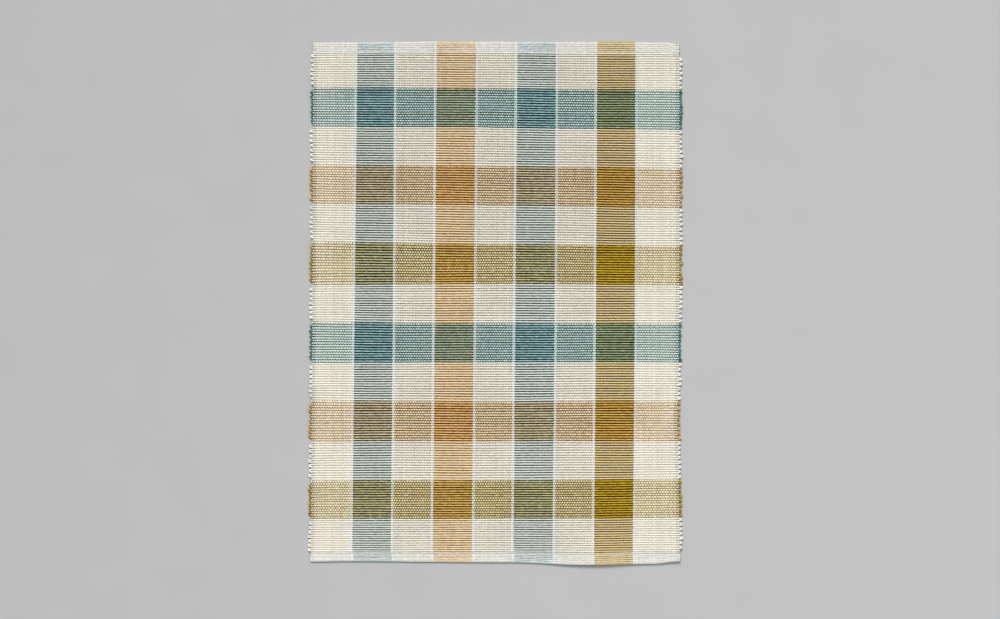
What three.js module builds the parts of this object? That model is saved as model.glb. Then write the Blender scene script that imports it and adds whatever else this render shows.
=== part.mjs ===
// A fabric placemat lying flat on a table: one piece of ribbed plain weave, with looped
// selvedges on its long sides and both short ends turned under.
//
// Millimetres, +Z up. The origin is on the table under the middle of the mat. +X points to the
// right-hand selvedge and +Y to the far end.
//
// The solid is one section that runs along the mat, from end to end over every rib, and is
// carried across it from selvedge to selvedge.

import * as THREE from 'three';

// Driving dimensions of the cloth
const THICKNESS = 2.2;
const RIB_DEPTH = 0.6;
const HALF_WIDTH = 169;
const BODY_START = -229.1; // where the near hem ends and the ribs begin
const RIB_CREST = [0.28, 0.72]; // the flat of a rib, as shares of its pitch

// The turned-under ends: two thin layers a little apart
const HEM_LAYER = 0.95;
const HEM_TOP = 2.15;
const HEM_MOUTH = 0.5; // gap between the turned edge and the ribbed cloth
const STITCH_INSET = 1.1;
const STITCH_WIDTH = 1.2;
const STITCH_DEPTH = 0.45;
const FOLD_STEPS = 4;

// The filling yarn turns back at the selvedge every second rib
const LOOP_REACH = 2.8;
const LOOP_UNEVENNESS = 0.7;
const LOOP_GAP_REACH = 0.5;
const HEM_EDGE_REACH = 0.4;
const EDGE_HEIGHT = 0.35; // height of the outermost rim, as a share of the thickness
const RIBS_PER_LOOP = 2;

// Bands between colour changes, from the near end: ribs, and length at both selvedges and midway
const BANDS = [
  { ribs: 15, left: 30.7, middle: 31.0, right: 31.8 },
  { ribs: 16, left: 35.1, middle: 35.1, right: 35.1 },
  { ribs: 16, left: 36.2, middle: 36.4, right: 35.3 },
  { ribs: 16, left: 37.6, middle: 36.1, right: 37.1 },
  { ribs: 16, left: 34.5, middle: 36.4, right: 35.4 },
  { ribs: 16, left: 37.8, middle: 35.5, right: 35.9 },
  { ribs: 16, left: 33.7, middle: 36.3, right: 35.0 },
  { ribs: 16, left: 40.4, middle: 36.2, right: 36.3 },
  { ribs: 16, left: 35.1, middle: 36.0, right: 34.8 },
  { ribs: 16, left: 35.4, middle: 35.7, right: 36.3 },
  { ribs: 16, left: 35.2, middle: 35.9, right: 35.6 },
  { ribs: 16, left: 35.6, middle: 35.6, right: 36.2 },
  { ribs: 15, left: 31.4, middle: 32.2, right: 32.3 },
];

// How deep each hem is, by the share of the width from the left
const NEAR_HEM = [
  { across: 0, depth: 9.0 },
  { across: 0.14, depth: 8.7 },
  { across: 0.3, depth: 9.1 },
  { across: 0.55, depth: 9.8 },
  { across: 0.72, depth: 11.7 },
  { across: 0.93, depth: 11.3 },
  { across: 1, depth: 8.8 },
];
const FAR_HEM = [
  { across: 0, depth: 10.4 },
  { across: 0.5, depth: 11.3 },
  { across: 0.95, depth: 12.2 },
  { across: 1, depth: 10.9 },
];

// How far each selvedge stands outside a straight line, by the distance along the mat
const LEFT_EDGE = [
  { along: -240, out: 0.6 },
  { along: -130, out: 0.2 },
  { along: 0, out: -0.7 },
  { along: 100, out: -1.0 },
  { along: 240, out: -1.7 },
];
const RIGHT_EDGE = [
  { along: -240, out: 0.6 },
  { along: -140, out: -0.3 },
  { along: -107, out: -1.8 },
  { along: -60, out: -0.3 },
  { along: 60, out: 0.5 },
  { along: 150, out: 0.6 },
  { along: 240, out: 0.2 },
];

// Soft ripples where the cloth stands a little off the table
const RIPPLES = [
  { across: 92, along: -236, reachAcross: 52, reachAlong: 34, height: 1.9 },
  { across: 172, along: -232, reachAcross: 34, reachAlong: 24, height: 1.2 },
  { across: -172, along: 50, reachAcross: 46, reachAlong: 17, height: 1.6 },
  { across: 172, along: -105, reachAcross: 44, reachAlong: 20, height: 1.5 },
  { across: -172, along: -78, reachAcross: 38, reachAlong: 15, height: 1.1 },
  { across: 172, along: 128, reachAcross: 42, reachAlong: 18, height: 1.3 },
  { across: -172, along: 196, reachAcross: 44, reachAlong: 20, height: 1.2 },
  { across: -60, along: 240, reachAcross: 56, reachAlong: 26, height: 1.2 },
];

// Places across the cloth where the section is set, as shares of its width
const COLUMNS = [0, 0.13, 0.38, 0.66, 0.88, 1];
const UNDERSIDE_STEPS = 24;

/** Reads a short table at a place between its rows, with a smooth join. */
function readTable(table, column, value, place) {
  const last = table[table.length - 1];
  const next = table.find((row) => row[column] >= place) ?? last;
  const before = table[Math.max(0, table.indexOf(next) - 1)];
  const span = next[column] - before[column];
  const share = span > 0 ? THREE.MathUtils.clamp((place - before[column]) / span, 0, 1) : 0;
  const eased = THREE.MathUtils.smoothstep(share, 0, 1);
  return THREE.MathUtils.lerp(before[value], next[value], eased);
}

/** A hand-woven unevenness between -1 and 1 that changes from loop to loop. */
function unevenness(index, phase) {
  return 0.6 * Math.sin(2.4 * index + phase) + 0.4 * Math.sin(0.9 * index + 2 * phase);
}

/** How far a ripple lifts the cloth off the table at a place. */
function rippleLift(ripple, x, y) {
  const dx = (x - ripple.across) / ripple.reachAcross;
  const dy = (y - ripple.along) / ripple.reachAlong;
  const reach = Math.min(1, Math.hypot(dx, dy));
  return (ripple.height * (1 + Math.cos(Math.PI * reach))) / 2;
}

function lift(x, y) {
  return RIPPLES.reduce((total, ripple) => total + rippleLift(ripple, x, y), 0);
}

/** The ends of every rib along both selvedges and midway, from the near end. */
function ribEnds() {
  const ends = [{ left: BODY_START, middle: BODY_START, right: BODY_START }];
  for (const band of BANDS) {
    const start = ends[ends.length - 1];
    for (let rib = 1; rib <= band.ribs; rib += 1) {
      const share = rib / band.ribs;
      ends.push({
        left: start.left + band.left * share,
        middle: start.middle + band.middle * share,
        right: start.right + band.right * share,
      });
    }
  }
  return ends;
}

const RIB_ENDS = ribEnds();
const RIB_COUNT = RIB_ENDS.length - 1;

/** How far the loops reach past the last warp yarn, at a place counted in ribs. */
function loopReach(ribs, firstLoopedRib, phase) {
  const loops = (ribs - firstLoopedRib) / RIBS_PER_LOOP;
  const loopCount = Math.floor((RIB_COUNT - firstLoopedRib) / RIBS_PER_LOOP);
  if (loops <= 0 || loops >= loopCount) {
    return LOOP_GAP_REACH;
  }
  const full = LOOP_REACH + LOOP_UNEVENNESS * unevenness(Math.floor(loops), phase);
  const bow = Math.sqrt(Math.sin(Math.PI * (loops - Math.floor(loops))));
  return LOOP_GAP_REACH + (full - LOOP_GAP_REACH) * bow;
}

/** A point of the section in the ribbed cloth, at a place counted in ribs from the near hem. */
function bodyPoint(ribs, height) {
  const near = RIB_ENDS[Math.floor(ribs)];
  const far = RIB_ENDS[Math.ceil(ribs)];
  const share = ribs - Math.floor(ribs);
  return {
    left: THREE.MathUtils.lerp(near.left, far.left, share),
    middle: THREE.MathUtils.lerp(near.middle, far.middle, share),
    right: THREE.MathUtils.lerp(near.right, far.right, share),
    height,
    hem: null,
    inset: 0,
    leftReach: loopReach(ribs, 0, 1),
    rightReach: loopReach(ribs, 1, 4),
  };
}

/** A point of the section in a hem. Its inset is measured from the fold, towards the ribs. */
function hemPoint(hem, inset, height) {
  const start = RIB_ENDS[hem === 'near' ? 0 : RIB_COUNT];
  return { ...start, height, hem, inset, leftReach: HEM_EDGE_REACH, rightReach: HEM_EDGE_REACH };
}

/** One hem seen from the side, from its mouth on the table round the fold to the first rib. */
function hemSection(hem) {
  const meanDepth = hem === 'near' ? NEAR_HEM[0].depth : FAR_HEM[0].depth;
  const radius = HEM_TOP / 2;
  const innerFold = HEM_LAYER;
  const slotTop = HEM_TOP - HEM_LAYER;
  const turnedEdge = meanDepth - HEM_MOUTH;
  const points = [
    hemPoint(hem, meanDepth, 0),
    hemPoint(hem, meanDepth, slotTop),
    hemPoint(hem, innerFold, slotTop),
    hemPoint(hem, innerFold, HEM_LAYER),
    hemPoint(hem, turnedEdge, HEM_LAYER),
    hemPoint(hem, turnedEdge, 0),
  ];
  for (let step = 0; step <= FOLD_STEPS; step += 1) {
    const angle = (Math.PI * step) / FOLD_STEPS;
    const inset = radius * (1 - Math.sin(angle));
    points.push(hemPoint(hem, inset, radius * (1 - Math.cos(angle))));
  }
  const stitch = meanDepth - STITCH_INSET;
  points.push(hemPoint(hem, stitch - STITCH_WIDTH / 2, HEM_TOP));
  points.push(hemPoint(hem, stitch, HEM_TOP - STITCH_DEPTH));
  points.push(hemPoint(hem, stitch + STITCH_WIDTH / 2, HEM_TOP));
  return points;
}

/** The whole section as one closed run of points, along the top and back under the cloth. */
function matSection() {
  const ribs = [];
  for (let rib = 0; rib < RIB_COUNT; rib += 1) {
    ribs.push(bodyPoint(rib, THICKNESS - RIB_DEPTH));
    ribs.push(...RIB_CREST.map((share) => bodyPoint(rib + share, THICKNESS)));
  }
  ribs.push(bodyPoint(RIB_COUNT, THICKNESS - RIB_DEPTH));
  const underside = [];
  for (let step = UNDERSIDE_STEPS - 1; step > 0; step -= 1) {
    underside.push(bodyPoint(Math.round((RIB_COUNT * step) / UNDERSIDE_STEPS), 0));
  }
  return [...hemSection('near'), ...ribs, ...hemSection('far').reverse(), ...underside];
}

/** Where a section point lies along the mat, at a share of its width. The ribs bow a little. */
function alongAt(point, across) {
  const straight = THREE.MathUtils.lerp(point.left, point.right, across);
  const bow = point.middle - (point.left + point.right) / 2;
  const base = straight + 4 * bow * across * (1 - across);
  if (!point.hem) {
    return base;
  }
  const table = point.hem === 'near' ? NEAR_HEM : FAR_HEM;
  const depth = readTable(table, 'across', 'depth', across);
  const outwards = (depth * (table[0].depth - point.inset)) / table[0].depth;
  return point.hem === 'near' ? base - outwards : base + outwards;
}

/** One section point in space. The rim of a selvedge reaches out, and is thin there. */
function place(point, across, reach) {
  const y = alongAt(point, across);
  const left = -HALF_WIDTH - readTable(LEFT_EDGE, 'along', 'out', y);
  const right = HALF_WIDTH + readTable(RIGHT_EDGE, 'along', 'out', y);
  const x = THREE.MathUtils.lerp(left, right, across) + reach;
  const middle = THICKNESS / 2;
  const share = reach === 0 ? 1 : EDGE_HEIGHT;
  return new THREE.Vector3(x, y, middle + (point.height - middle) * share + lift(x, y));
}

/** The closed surface of the mat: a ring of section points at each place across it. */
function matGeometry() {
  const section = matSection();
  const rings = [
    section.map((point) => place(point, 0, -point.leftReach)),
    ...COLUMNS.map((across) => section.map((point) => place(point, across, 0))),
    section.map((point) => place(point, 1, point.rightReach)),
  ];
  const size = section.length;
  const indices = [];
  for (let ring = 0; ring < rings.length - 1; ring += 1) {
    for (let index = 0; index < size; index += 1) {
      const here = ring * size + index;
      const beside = ring * size + ((index + 1) % size);
      indices.push(here, here + size, beside, beside, here + size, beside + size);
    }
  }
  const lastRing = (rings.length - 1) * size;
  const sectionPlane = (ring) => ring.map((point) => new THREE.Vector2(point.y, point.z));
  for (const [a, b, c] of THREE.ShapeUtils.triangulateShape(sectionPlane(rings[0]), [])) {
    indices.push(a, c, b);
  }
  const lastPlane = sectionPlane(rings[rings.length - 1]);
  for (const [a, b, c] of THREE.ShapeUtils.triangulateShape(lastPlane, [])) {
    indices.push(lastRing + a, lastRing + b, lastRing + c);
  }
  const geometry = new THREE.BufferGeometry().setFromPoints(rings.flat());
  geometry.setIndex(indices);
  return geometry;
}

const geometry = matGeometry();
geometry.computeBoundingBox();
const centre = geometry.boundingBox.getCenter(new THREE.Vector3());
geometry.translate(-centre.x, -centre.y, 0);
geometry.computeVertexNormals();

const cotton = new THREE.MeshStandardMaterial({ color: 0xd6ceb6, roughness: 0.95, metalness: 0 });
const placemat = new THREE.Mesh(geometry, cotton);
placemat.name = 'placemat';

const group = new THREE.Group();
group.add(placemat);

export default group;
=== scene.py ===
"""Weaves a ribbed cotton placemat yarn by yarn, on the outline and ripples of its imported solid.

The cloth is a plain weave of fine warp over thick weft. Every warp end and every pick of weft is
a yarn of its own, each short end is turned under and machine stitched, and the thick weft turns
back in loops at both selvedges. Tables are in millimetres and meshes in metres.
"""

import math

import bpy
import numpy as np
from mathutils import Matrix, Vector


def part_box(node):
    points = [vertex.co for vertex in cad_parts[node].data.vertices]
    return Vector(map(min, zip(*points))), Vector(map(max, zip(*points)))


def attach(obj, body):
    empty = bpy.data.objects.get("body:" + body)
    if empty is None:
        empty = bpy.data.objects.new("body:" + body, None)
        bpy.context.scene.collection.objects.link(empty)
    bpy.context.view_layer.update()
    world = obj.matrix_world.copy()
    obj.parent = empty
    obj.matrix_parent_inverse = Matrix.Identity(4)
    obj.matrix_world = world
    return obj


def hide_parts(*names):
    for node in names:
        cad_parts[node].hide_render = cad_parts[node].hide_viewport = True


bl_info = {
    "name": "Woven Fabric Placemat",
    "version": (1, 0, 0),
    "blender": (4, 5, 0),
    "location": "3D Viewport > Sidebar > Placemat",
    "description": "Weaves a ribbed cotton placemat with looped selvedges and turned-under ends",
    "category": "Add Mesh",
}

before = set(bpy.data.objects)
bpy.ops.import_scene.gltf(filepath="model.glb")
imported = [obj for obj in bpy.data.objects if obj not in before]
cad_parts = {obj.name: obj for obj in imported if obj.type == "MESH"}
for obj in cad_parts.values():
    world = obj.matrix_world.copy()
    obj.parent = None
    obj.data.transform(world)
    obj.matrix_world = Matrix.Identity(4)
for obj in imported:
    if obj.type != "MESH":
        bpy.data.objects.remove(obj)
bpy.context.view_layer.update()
SOLID_LOW, SOLID_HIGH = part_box("placemat")

MM = 0.001
SEED = 7

# The height of the cloth's middle, where the ribs start along the mat, and half of the mat's length
MIDDLE_HEIGHT = 1.14
BODY_START = -229.1
HALF_LENGTH = 240

# Bands of weft colour from the near end: ribs, and length at both selvedges and midway
BANDS = [
    {"yarn": "cream", "ribs": 15, "left": 30.7, "middle": 31.0, "right": 31.8},
    {"yarn": "olive", "ribs": 16, "left": 35.1, "middle": 35.1, "right": 35.1},
    {"yarn": "cream", "ribs": 16, "left": 36.2, "middle": 36.4, "right": 35.3},
    {"yarn": "tan", "ribs": 16, "left": 37.6, "middle": 36.1, "right": 37.1},
    {"yarn": "cream", "ribs": 16, "left": 34.5, "middle": 36.4, "right": 35.4},
    {"yarn": "teal", "ribs": 16, "left": 37.8, "middle": 35.5, "right": 35.9},
    {"yarn": "cream", "ribs": 16, "left": 33.7, "middle": 36.3, "right": 35.0},
    {"yarn": "olive", "ribs": 16, "left": 40.4, "middle": 36.2, "right": 36.3},
    {"yarn": "cream", "ribs": 16, "left": 35.1, "middle": 36.0, "right": 34.8},
    {"yarn": "tan", "ribs": 16, "left": 35.4, "middle": 35.7, "right": 36.3},
    {"yarn": "cream", "ribs": 16, "left": 35.2, "middle": 35.9, "right": 35.6},
    {"yarn": "teal", "ribs": 16, "left": 35.6, "middle": 35.6, "right": 36.2},
    {"yarn": "cream", "ribs": 15, "left": 31.4, "middle": 32.2, "right": 32.3},
]
RIBS = sum(band["ribs"] for band in BANDS)

# Stripes of warp colour from the left selvedge: ends, the width of an end's float, and the width of
# the stripe at the near end, midway and at the far end. A stripe's own depth is a share of how deep
# its colour turns to painted shade in the valleys. A line of bleached
# ends lies between every two wide stripes.
SELVEDGE = {"yarn": "cream", "ends": 4, "float": 1.0, "near": 3.0, "middle": 3.0, "far": 3.0}
LINE = {"yarn": "white", "ends": 4, "float": 0.62, "near": 2.4, "middle": 2.4, "far": 2.4}
STRIPES = [
    SELVEDGE,
    {"yarn": "cream", "ends": 28, "float": 2.0, "depth": 0.5, "near": 32.5, "middle": 33.6, "far": 35.1},
    LINE,
    {"yarn": "teal", "ends": 54, "float": 0.46, "near": 35.1, "middle": 34.9, "far": 33.5},
    LINE,
    {"yarn": "cream", "ends": 29, "float": 1.1, "near": 34.2, "middle": 34.0, "far": 34.7},
    LINE,
    {"yarn": "tan", "ends": 54, "float": 0.46, "near": 35.7, "middle": 35.7, "far": 35.8},
    LINE,
    {"yarn": "cream", "ends": 29, "float": 1.1, "near": 33.7, "middle": 33.5, "far": 33.6},
    LINE,
    {"yarn": "teal", "ends": 54, "float": 0.46, "near": 35.55, "middle": 35.95, "far": 35.05},
    LINE,
    {"yarn": "cream", "ends": 29, "float": 1.1, "near": 33.55, "middle": 33.35, "far": 33.25},
    LINE,
    {"yarn": "olive", "ends": 54, "float": 0.46, "near": 35.45, "middle": 35.55, "far": 35.05},
    LINE,
    {"yarn": "cream", "ends": 30, "float": 2.0, "depth": 0.5, "near": 37.55, "middle": 35.35, "far": 35.45},
    SELVEDGE,
]
SELVEDGE_REACH = 0.116  # the share of the width to which a selvedge's waviness reaches

# How deep each hem is, by the share of the width from the left
NEAR_HEM = {0.0: 9.0, 0.14: 8.7, 0.3: 9.1, 0.55: 9.8, 0.72: 11.7, 0.93: 11.3, 1.0: 8.8}
FAR_HEM = {0.0: 10.4, 0.5: 11.3, 0.95: 12.2, 1.0: 10.9}
# How far the near hem slid to the right when it was stitched, by the same share
NEAR_SLIP = {0.0: -0.6, 0.12: 1.3, 0.25: 1.6, 0.4: 0.6, 1.0: 0.3}
SLIP_REACH = 6  # the slip grows over this length outwards from the ribs

# Where the selvedges lie, by the distance along the mat
LEFT_EDGE = {-240: -168.8, -130: -168.4, 0: -167.5, 100: -167.2, 240: -166.5}
RIGHT_EDGE = {-240: 170.1, -140: 169.2, -107: 167.7, -60: 169.2, 60: 170.0, 150: 170.1, 240: 169.7}

# Soft ripples where the cloth stands a little off the table
RIPPLES = [
    {"x": 92, "y": -236, "reach_x": 52, "reach_y": 34, "height": 1.9},
    {"x": 172, "y": -232, "reach_x": 34, "reach_y": 24, "height": 1.2},
    {"x": -172, "y": 50, "reach_x": 46, "reach_y": 17, "height": 1.6},
    {"x": 172, "y": -105, "reach_x": 44, "reach_y": 20, "height": 1.5},
    {"x": -172, "y": -78, "reach_x": 38, "reach_y": 15, "height": 1.1},
    {"x": 172, "y": 128, "reach_x": 42, "reach_y": 18, "height": 1.3},
    {"x": -172, "y": 196, "reach_x": 44, "reach_y": 20, "height": 1.2},
    {"x": -60, "y": 240, "reach_x": 56, "reach_y": 26, "height": 1.2},
]

# A hem in section: fine picks in the upper layer, round the fold and in the turned layer
TOP_PICKS = 6
FOLD_PICKS = 1
TURNED_PICKS = 5
HEM_PICKS = TOP_PICKS + FOLD_PICKS + TURNED_PICKS
TOP_HEIGHT = 1.67
TURNED_HEIGHT = 0.48
FOLD_RADIUS = (TOP_HEIGHT - TURNED_HEIGHT) / 2
FOLD_HEIGHT = (TOP_HEIGHT + TURNED_HEIGHT) / 2
LAYER_HALF = 0.48  # half the thickness of one layer
HEM_MOUTH = 0.5  # how far from the ribs the turned layer stops
STITCH_PICK = 1.0  # the seam runs beside this pick and draws the hem down
STITCH_WIDTH = 0.45  # in picks, how far to each side it does so
STITCH_DEPTH = 0.2

# How a warp end passes one pick: place along the pick, rise, how far it is spread as in a valley,
# and crown, all as shares
OVER_RIB = [(0.0, 0.12, 1.0, 0.0), (0.25, 0.74, 0.5, 0.8), (0.5, 1.0, 0.0, 1.0), (0.75, 0.74, 0.5, 0.8)]
UNDER_RIB = [(0.0, 0.12, 1.0, 0.0), (0.5, -1.0, 0.0, -1.0)]
OVER_FINE = [(0.0, 0.2, 0.7, 0.0), (0.25, 0.78, 0.3, 0.4), (0.5, 1.0, 0.0, 0.6), (0.75, 0.78, 0.3, 0.4)]
UNDER_FINE = [(0.0, 0.2, 0.7, 0.0), (0.5, -1.0, 0.8, -0.6)]
HEM_FLOAT = 0.6  # the width of an end's float over a fine pick, as a share of the ends' spacing
SPREAD_WIDTH = 1.08  # the width of an end where it lies slack in a valley, as the same share
FINE_SPACING = 0.9  # ends that are set closer than this are fine, and lie flat


def to_linear(code):
    """A hex sRGB colour as linear red, green, blue and alpha."""
    parts = [int(code[i : i + 2], 16) / 255 for i in (1, 3, 5)]
    return (*(p / 12.92 if p <= 0.04045 else ((p + 0.055) / 1.055) ** 2.4 for p in parts), 1.0)


def colour_property(name, code, description):
    return bpy.props.FloatVectorProperty(
        name=name, description=description, default=to_linear(code), size=4, subtype="COLOR",
        min=0.0, max=1.0,
    )


def length_property(name, millimetres, description):
    return bpy.props.FloatProperty(
        name=name, description=description, default=millimetres * MM, unit="LENGTH",
        subtype="DISTANCE", min=0.0, precision=5,
    )


class PlacematYarnSizes(bpy.types.PropertyGroup):
    """Sizes of the yarns and of the stitching."""

    rise: length_property("Warp Rise", 1.1, "Height of a warp float's crown over the middle of the cloth")
    crown: length_property("Warp Crown", 0.2, "How far a float's crown stands above its edges")
    weft_half_width: length_property("Weft Half Width", 0.72, "Half the width of one rib's yarn")
    weft_half_height: length_property("Weft Half Height", 0.98, "Half the thickness of one rib's yarn")
    loop_reach: length_property("Loop Reach", 3.0, "How far the weft loops stand out of a selvedge")
    loop_unevenness: length_property("Loop Unevenness", 0.8, "How much the loops differ in reach")
    stitch: length_property("Stitch Length", 2.8, "Length of one machine stitch")
    thread: length_property("Thread Thickness", 0.24, "Thickness of the sewing thread")


class PlacematYarnColours(bpy.types.PropertyGroup):
    """Colours of the dyed, natural and bleached yarns, on a crest and, as painted shade, deep between
    two ribs.
    """

    cream_warp: colour_property("Cream Warp", "#ECE8DF", "Natural cotton")
    white_warp: colour_property("White Warp", "#EDEFF0", "Bleached cotton")
    teal_warp: colour_property("Teal Warp", "#DFEBEA", "Dyed cotton")
    tan_warp: colour_property("Tan Warp", "#F6E2B5", "Dyed cotton")
    olive_warp: colour_property("Olive Warp", "#DABD10", "Dyed cotton")
    cream_weft: colour_property("Cream Weft", "#E7E3D8", "Natural cotton")
    teal_weft: colour_property("Teal Weft", "#C2E7E7", "Dyed cotton")
    tan_weft: colour_property("Tan Weft", "#F7D89E", "Dyed cotton")
    olive_weft: colour_property("Olive Weft", "#E7D05D", "Dyed cotton")
    heading: colour_property("Heading Weft", "#EEEDE8", "Fine bleached cotton in the hems")
    # Each yarn's depths colour is painted shade: its colour deep between two ribs, where the ribs shade it
    # and light bounces from fibre to fibre
    cream_warp_painted_shade: colour_property("Cream Warp Depths", "#575041", "Natural cotton")
    white_warp_painted_shade: colour_property("White Warp Depths", "#898B8E", "Bleached cotton")
    teal_warp_painted_shade: colour_property("Teal Warp Depths", "#101D20", "Dyed cotton")
    tan_warp_painted_shade: colour_property("Tan Warp Depths", "#652B01", "Dyed cotton")
    olive_warp_painted_shade: colour_property("Olive Warp Depths", "#422201", "Dyed cotton")
    cream_weft_painted_shade: colour_property("Cream Weft Depths", "#625A45", "Natural cotton")
    teal_weft_painted_shade: colour_property("Teal Weft Depths", "#032324", "Dyed cotton")
    tan_weft_painted_shade: colour_property("Tan Weft Depths", "#653F12", "Dyed cotton")
    olive_weft_painted_shade: colour_property("Olive Weft Depths", "#3F2B03", "Dyed cotton")
    heading_painted_shade: colour_property("Heading Weft Depths", "#8A8880", "Fine bleached cotton")


def ease(share):
    """A share from 0 to 1 that starts and ends softly."""
    return share * share * (3 - 2 * share)


def read_table(table, places):
    """A short table's value at places between its rows, with smooth joins."""
    stops = np.array(list(table), float)
    values = np.array(list(table.values()), float)
    upper = np.clip(np.searchsorted(stops, places), 1, len(stops) - 1)
    share = np.clip((places - stops[upper - 1]) / (stops[upper] - stops[upper - 1]), 0, 1)
    return values[upper - 1] + (values[upper] - values[upper - 1]) * ease(share)


def rib_ends(side):
    """Where every rib ends along one line of the mat, starting with the near hem's edge."""
    steps = [band[side] / band["ribs"] for band in BANDS for _ in range(band["ribs"])]
    return BODY_START + np.concatenate([[0.0], np.cumsum(steps)])


RIB_ENDS = {side: rib_ends(side) for side in ("left", "middle", "right")}

FULL_TURN = 6.28  # radians, near enough for random waves

# Each pick was beaten in a little harder or softer than the next, and not evenly along it
BEAT = np.random.default_rng(SEED).uniform(0, 1, (RIBS + 1, 3))
BEAT_REACH = 0.15
BEAT_WAVE = 0.7  # how far the line between two ribs waves, as a share of that reach
LEAST_TURNS = 0.5  # the fewest waves across the mat, and how many more there may be
MORE_TURNS = 2.5


def beat(number, across):
    """How far the line between two ribs lies from an even beat."""
    size, phase, turns = (BEAT[number, i] for i in range(3))
    wave = np.sin(FULL_TURN * (phase + across * (LEAST_TURNS + MORE_TURNS * turns)))
    return BEAT_REACH * (size - 0.5 + BEAT_WAVE * wave)


def rib_along(picks, across):
    """How far along the mat a place counted in ribs lies, at a share of the width."""
    count = np.arange(RIBS + 1)
    left, middle, right = (
        np.interp(picks, count, RIB_ENDS[side]) for side in ("left", "middle", "right")
    )
    bow = middle - (left + right) / 2
    lower = np.floor(picks).astype(int)
    share = picks - lower
    uneven = beat(lower, across) * (1 - share) + beat(np.minimum(lower + 1, RIBS), across) * share
    return left + (right - left) * across + 4 * bow * across * (1 - across) + uneven


def hem_line(picks):
    """The middle of a hem's cloth at a place counted in fine picks from the ribs outwards: its
    distance out as a share of the hem's depth and a fixed part, its height, and its face's turn."""
    inner = LAYER_HALF + FOLD_RADIUS
    top = np.clip(picks / TOP_PICKS, 0, 1)
    turn = np.clip((picks - TOP_PICKS) / FOLD_PICKS, 0, 1) * math.pi
    back = np.clip((picks - TOP_PICKS - FOLD_PICKS) / TURNED_PICKS, 0, 1)
    share = top - back
    fixed = FOLD_RADIUS * np.sin(turn) - inner * (top - back) + HEM_MOUTH * back
    drawn = STITCH_DEPTH * np.exp(-(((picks - STITCH_PICK) / STITCH_WIDTH) ** 2))
    height = FOLD_HEIGHT + FOLD_RADIUS * np.cos(turn) - drawn
    return share, fixed, height, turn


# How hand-beaten picks waver: how far each wave goes, its lengths across and along the mat in
# millimetres to a radian, and where it starts or how much it bends
SLOW_WAVES = [
    {"size": 0.16, "across": 41, "along": 67, "start": 0.0},
    {"size": 0.112, "across": 23, "along": -31, "start": 1.3},
]
QUICK_WAVE = {"size": 0.07, "across": 9.1, "along": 5.3, "bend": 2.1}
FACING_UP = 0.99  # the z of a face from which its layer counts as lying flat and facing up


def waver(x, y, face_z):
    """How far the picks waver along the mat in the layers that face up, in millimetres."""
    slow = sum(
        wave["size"] * np.sin(x / wave["across"] + y / wave["along"] + wave["start"])
        for wave in SLOW_WAVES
    )
    bend = QUICK_WAVE["bend"] * np.sin(y / QUICK_WAVE["along"])
    quick = QUICK_WAVE["size"] * np.sin(x / QUICK_WAVE["across"] + bend)
    return (slow + quick) * (face_z > FACING_UP)


def weave_line(picks, across):
    """The middle of the cloth at a place counted in picks, ribs and hems alike: y, height, and
    the y and z parts of the direction that its face looks in."""
    picks, across = np.broadcast_arrays(np.asarray(picks, float), np.asarray(across, float))
    inside = np.clip(picks, 0, RIBS)
    y = rib_along(inside, across)
    height = np.full(picks.shape, MIDDLE_HEIGHT)
    face_y, face_z = np.zeros(picks.shape), np.ones(picks.shape)
    hems = [(picks < 0, -picks, NEAR_HEM, -1), (picks > RIBS, picks - RIBS, FAR_HEM, 1)]
    for chosen, hem_picks, table, outward in hems:
        share, fixed, hem_height, turn = hem_line(hem_picks)
        depth = read_table(table, across)
        y = np.where(chosen, y + outward * (share * depth + fixed), y)
        height = np.where(chosen, hem_height, height)
        face_y = np.where(chosen, outward * np.sin(turn), face_y)
        face_z = np.where(chosen, np.cos(turn), face_z)
    return y, height, face_y, face_z


def three_point_curve(near, middle, far, along):
    """The parabola through three values at the near end, midway and the far end."""
    share = along / HALF_LENGTH
    return middle + (far - near) / 2 * share + ((far + near) / 2 - middle) * share * share


ROW_PLACES = {"near": -HALF_LENGTH, "middle": 0, "far": HALF_LENGTH}
DENT_PAIRING = 0.07  # how far the two ends of a dent lie towards each other, as a share of an end


def end_places():
    """Every warp end's x at the near end, midway and the far end, in pairs, two to each dent of
    the reed, with its stripe, float width and spacing."""
    x = {row: read_table(LEFT_EDGE, y) for row, y in ROW_PLACES.items()}
    ends = []
    for number, stripe in enumerate(STRIPES):
        spacing = stripe["middle"] / stripe["ends"]
        for i in range(stripe["ends"]):
            place = (i + 0.5 + DENT_PAIRING * (1 if i % 2 == 0 else -1)) / stripe["ends"]
            end = {row: x[row] + stripe[row] * place for row in ROW_PLACES}
            end.update(stripe=number, yarn=stripe["yarn"], float=stripe["float"], spacing=spacing)
            ends.append(end)
        x = {row: x[row] + stripe[row] for row in ROW_PLACES}
    return ends


WARP = end_places()
SHARES = np.array([end["middle"] - WARP[0]["middle"] for end in WARP])
SHARES /= SHARES[-1]


def cloth_x(across, y):
    """Where the warp runs at a share of the width, across the mat, at distances y along it."""
    near, middle, far = (np.interp(across, SHARES, [end[row] for end in WARP]) for row in ROW_PLACES)
    x = three_point_curve(near, middle, far, y)
    for edge, end, table in ((across, WARP[0], LEFT_EDGE), (1 - across, WARP[-1], RIGHT_EDGE)):
        own = three_point_curve(end["near"], end["middle"], end["far"], y)
        inset = end["middle"] - read_table(table, 0)
        wave = read_table(table, y) + inset - own
        x = x + wave * np.clip(1 - edge / SELVEDGE_REACH, 0, 1)
    turned = np.clip((BODY_START - y) / SLIP_REACH, 0, 1)
    return x + read_table(NEAR_SLIP, across) * ease(turned)


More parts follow.
